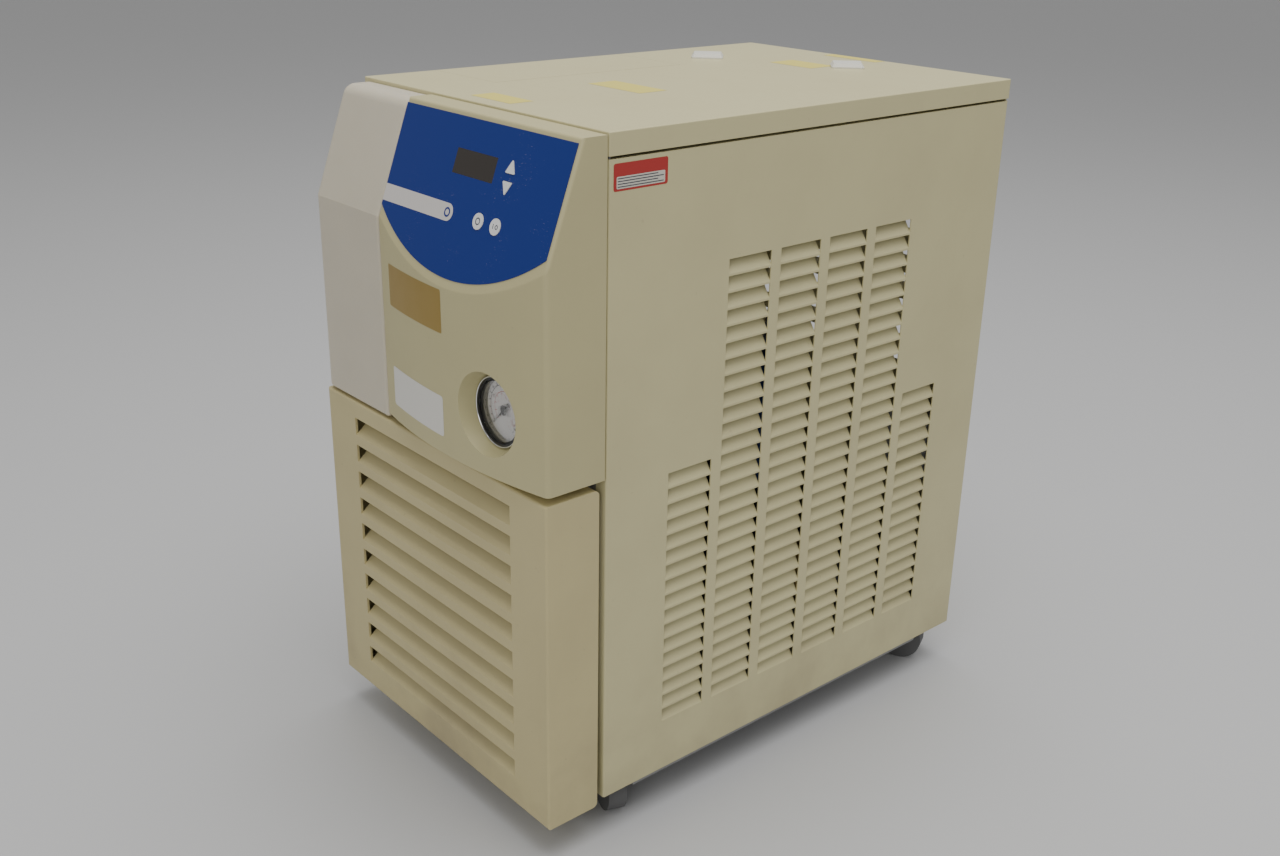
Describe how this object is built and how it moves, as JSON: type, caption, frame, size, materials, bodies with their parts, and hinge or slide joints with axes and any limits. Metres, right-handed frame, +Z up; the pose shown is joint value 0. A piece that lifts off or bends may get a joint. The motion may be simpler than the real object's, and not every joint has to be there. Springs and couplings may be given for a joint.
{
  "type": "recirculating chiller",
  "caption": "Floor-standing recirculating chiller cabinet with louvred sides, slanted control housing with pressure gauge, translucent reservoir and pull-off inlet grille on casters.",
  "frame": {"origin": "centre of the bounding box's bottom, on the floor under the casters", "axes": "+Z up, -Y out of the front with the controls, +X to the viewer's right when facing the front"},
  "size_m": [0.365, 0.6054, 0.665],
  "materials": {
    "panel_paint": "satin cream paint",
    "cover_paint": "satin cream paint",
    "chassis_steel": "zinc-plated steel",
    "housing_plastic": "fine-textured moulding",
    "grille_plastic": "fine-textured moulding",
    "overlay_film": "satin film",
    "smoked_window": "smoked clear plastic",
    "board": "circuit board",
    "key_plastic": "satin plastic",
    "gauge_black": "black enamel",
    "gauge_white": "white enamel",
    "gauge_red": "black enamel",
    "lens": "clear",
    "tank_plastic": "milky polyethylene",
    "cap_plastic": "moulded polyethylene",
    "filter_foam": "open foam",
    "coil_metal": "aluminium fins",
    "fan_metal": "pressed aluminium",
    "motor_black": "black enamel",
    "copper": "copper tube",
    "stainless": "stainless steel",
    "brass": "turned brass",
    "hose_blue": "blue reinforced hose",
    "hose_black": "insulated hose",
    "grey_plastic": "moulded plastic",
    "black_plastic": "moulded plastic",
    "pad_plastic": "white nylon",
    "zinc": "zinc-plated steel",
    "wheel_rubber": "grey-black tread"
  },
  "bodies": {
    "cabinet": {"base_pan": "chassis_steel", "front_wall": "chassis_steel", "rear_panel": "panel_paint", "right_side_panel": "panel_paint", "left_side_panel": "panel_paint", "top_cover": "cover_paint", "reservoir_tank": "tank_plastic", "control_housing": "housing_plastic", "control_overlay": "overlay_film", "display_window": "smoked_window", "display_board": "board", "gauge_case": "gauge_black", "gauge_dial": "gauge_white", "gauge_lens": "lens", "air_filter": "filter_foam", "condenser_coil": "coil_metal", "fan_shroud": "chassis_steel", "fan_motor": "motor_black", "fan_bracket": "zinc", "compressor": "motor_black", "heat_exchanger": "stainless", "discharge_line": "copper", "liquid_line": "copper", "suction_line": "copper", "pump_motor": "motor_black", "pump_head": "brass", "pump_bracket": "zinc", "tank_hose": "hose_black", "suction_hose": "hose_black", "supply_hose": "hose_blue", "return_hose": "hose_black", "supply_port": "brass", "return_port": "brass", "electrical_box": "chassis_steel", "power_inlet": "black_plastic", "capacitor_box": "grey_plastic", "left_pad": "pad_plastic", "right_pad": "pad_plastic", "front_right_plate": "zinc", "front_left_plate": "zinc", "rear_right_plate": "zinc", "rear_left_plate": "zinc"},
    "lid": {"reservoir_lid": "cover_paint"},
    "cap": {"fill_cap": "cap_plastic"},
    "grille": {"front_grille": "grille_plastic"},
    "pointer": {"gauge_pointer": "gauge_red"},
    "up_key": {"key_up": "key_plastic"},
    "down_key": {"key_down": "key_plastic"},
    "mode_key": {"key_mode": "key_plastic"},
    "power_key": {"key_power": "key_plastic"},
    "fan": {"condenser_fan": "fan_metal"},
    "front_right_swivel": {"front_right_fork": "zinc"},
    "front_right_roller": {"front_right_wheel": "wheel_rubber"},
    "front_left_swivel": {"front_left_fork": "zinc"},
    "front_left_roller": {"front_left_wheel": "wheel_rubber"},
    "rear_right_swivel": {"rear_right_fork": "zinc"},
    "rear_right_roller": {"rear_right_wheel": "wheel_rubber"},
    "rear_left_swivel": {"rear_left_fork": "zinc"},
    "rear_left_roller": {"rear_left_wheel": "wheel_rubber"}
  },
  "joints": [
    {"name": "lid_hinge", "type": "hinge", "parent": "cabinet", "child": "lid", "pos_m": [-0.0805, -0.0323, 0.66], "axis": [0, 1, 0], "range_deg": [0, 75]},
    {"name": "cap_turn", "type": "hinge", "parent": "cabinet", "child": "cap", "pos_m": [-0.118, -0.0328, 0.645], "axis": [0, 0, 1], "range_deg": [0, 720]},
    {"name": "grille_pull", "type": "slide", "parent": "cabinet", "child": "grille", "axis": [0, -1, 0], "range_m": [0, 0.08]},
    {"name": "pointer_turn", "type": "hinge", "parent": "cabinet", "child": "pointer", "pos_m": [0.1123, -0.2798, 0.4238], "axis": [0, 1, 0], "range_deg": [0, 270], "stiffness_Nm_per_rad": 0.0005},
    {"name": "fan_spin", "type": "hinge", "parent": "cabinet", "child": "fan", "pos_m": [0, -0.1484, 0.216], "axis": [0, 1, 0], "continuous": true},
    {"name": "up_press", "type": "slide", "parent": "cabinet", "child": "up_key", "axis": [0, 0.9385, -0.3453], "range_m": [0, 0.0005], "stiffness_N_per_m": 600},
    {"name": "down_press", "type": "slide", "parent": "cabinet", "child": "down_key", "axis": [0, 0.9385, -0.3453], "range_m": [0, 0.0005], "stiffness_N_per_m": 600},
    {"name": "mode_press", "type": "slide", "parent": "cabinet", "child": "mode_key", "axis": [0, 0.9385, -0.3453], "range_m": [0, 0.0005], "stiffness_N_per_m": 600},
    {"name": "power_press", "type": "slide", "parent": "cabinet", "child": "power_key", "axis": [0, 0.9385, -0.3453], "range_m": [0, 0.0005], "stiffness_N_per_m": 600},
    {"name": "front_right_turn", "type": "hinge", "parent": "cabinet", "child": "front_right_swivel", "pos_m": [0.131, -0.1858, 0.0585], "axis": [0, 0, 1], "continuous": true},
    {"name": "front_right_roll", "type": "hinge", "parent": "front_right_swivel", "child": "front_right_roller", "pos_m": [0.14791, -0.19196, 0.025], "axis": [0.342, 0.9397, 0], "continuous": true},
    {"name": "front_left_turn", "type": "hinge", "parent": "cabinet", "child": "front_left_swivel", "pos_m": [-0.131, -0.1858, 0.0585], "axis": [0, 0, 1], "continuous": true},
    {"name": "front_left_roll", "type": "hinge", "parent": "front_left_swivel", "child": "front_left_roller", "pos_m": [-0.14791, -0.19196, 0.025], "axis": [0.342, -0.9397, 0], "continuous": true},
    {"name": "rear_right_turn", "type": "hinge", "parent": "cabinet", "child": "rear_right_swivel", "pos_m": [0.131, 0.2422, 0.0585], "axis": [0, 0, 1], "continuous": true},
    {"name": "rear_right_roll", "type": "hinge", "parent": "rear_right_swivel", "child": "rear_right_roller", "pos_m": [0.14731, 0.24981, 0.025], "axis": [-0.4226, 0.9063, 0], "continuous": true},
    {"name": "rear_left_turn", "type": "hinge", "parent": "cabinet", "child": "rear_left_swivel", "pos_m": [-0.131, 0.2422, 0.0585], "axis": [0, 0, 1], "continuous": true},
    {"name": "rear_left_roll", "type": "hinge", "parent": "rear_left_swivel", "child": "rear_left_roller", "pos_m": [-0.14791, 0.24836, 0.025], "axis": [-0.342, -0.9397, 0], "continuous": true}
  ]
}
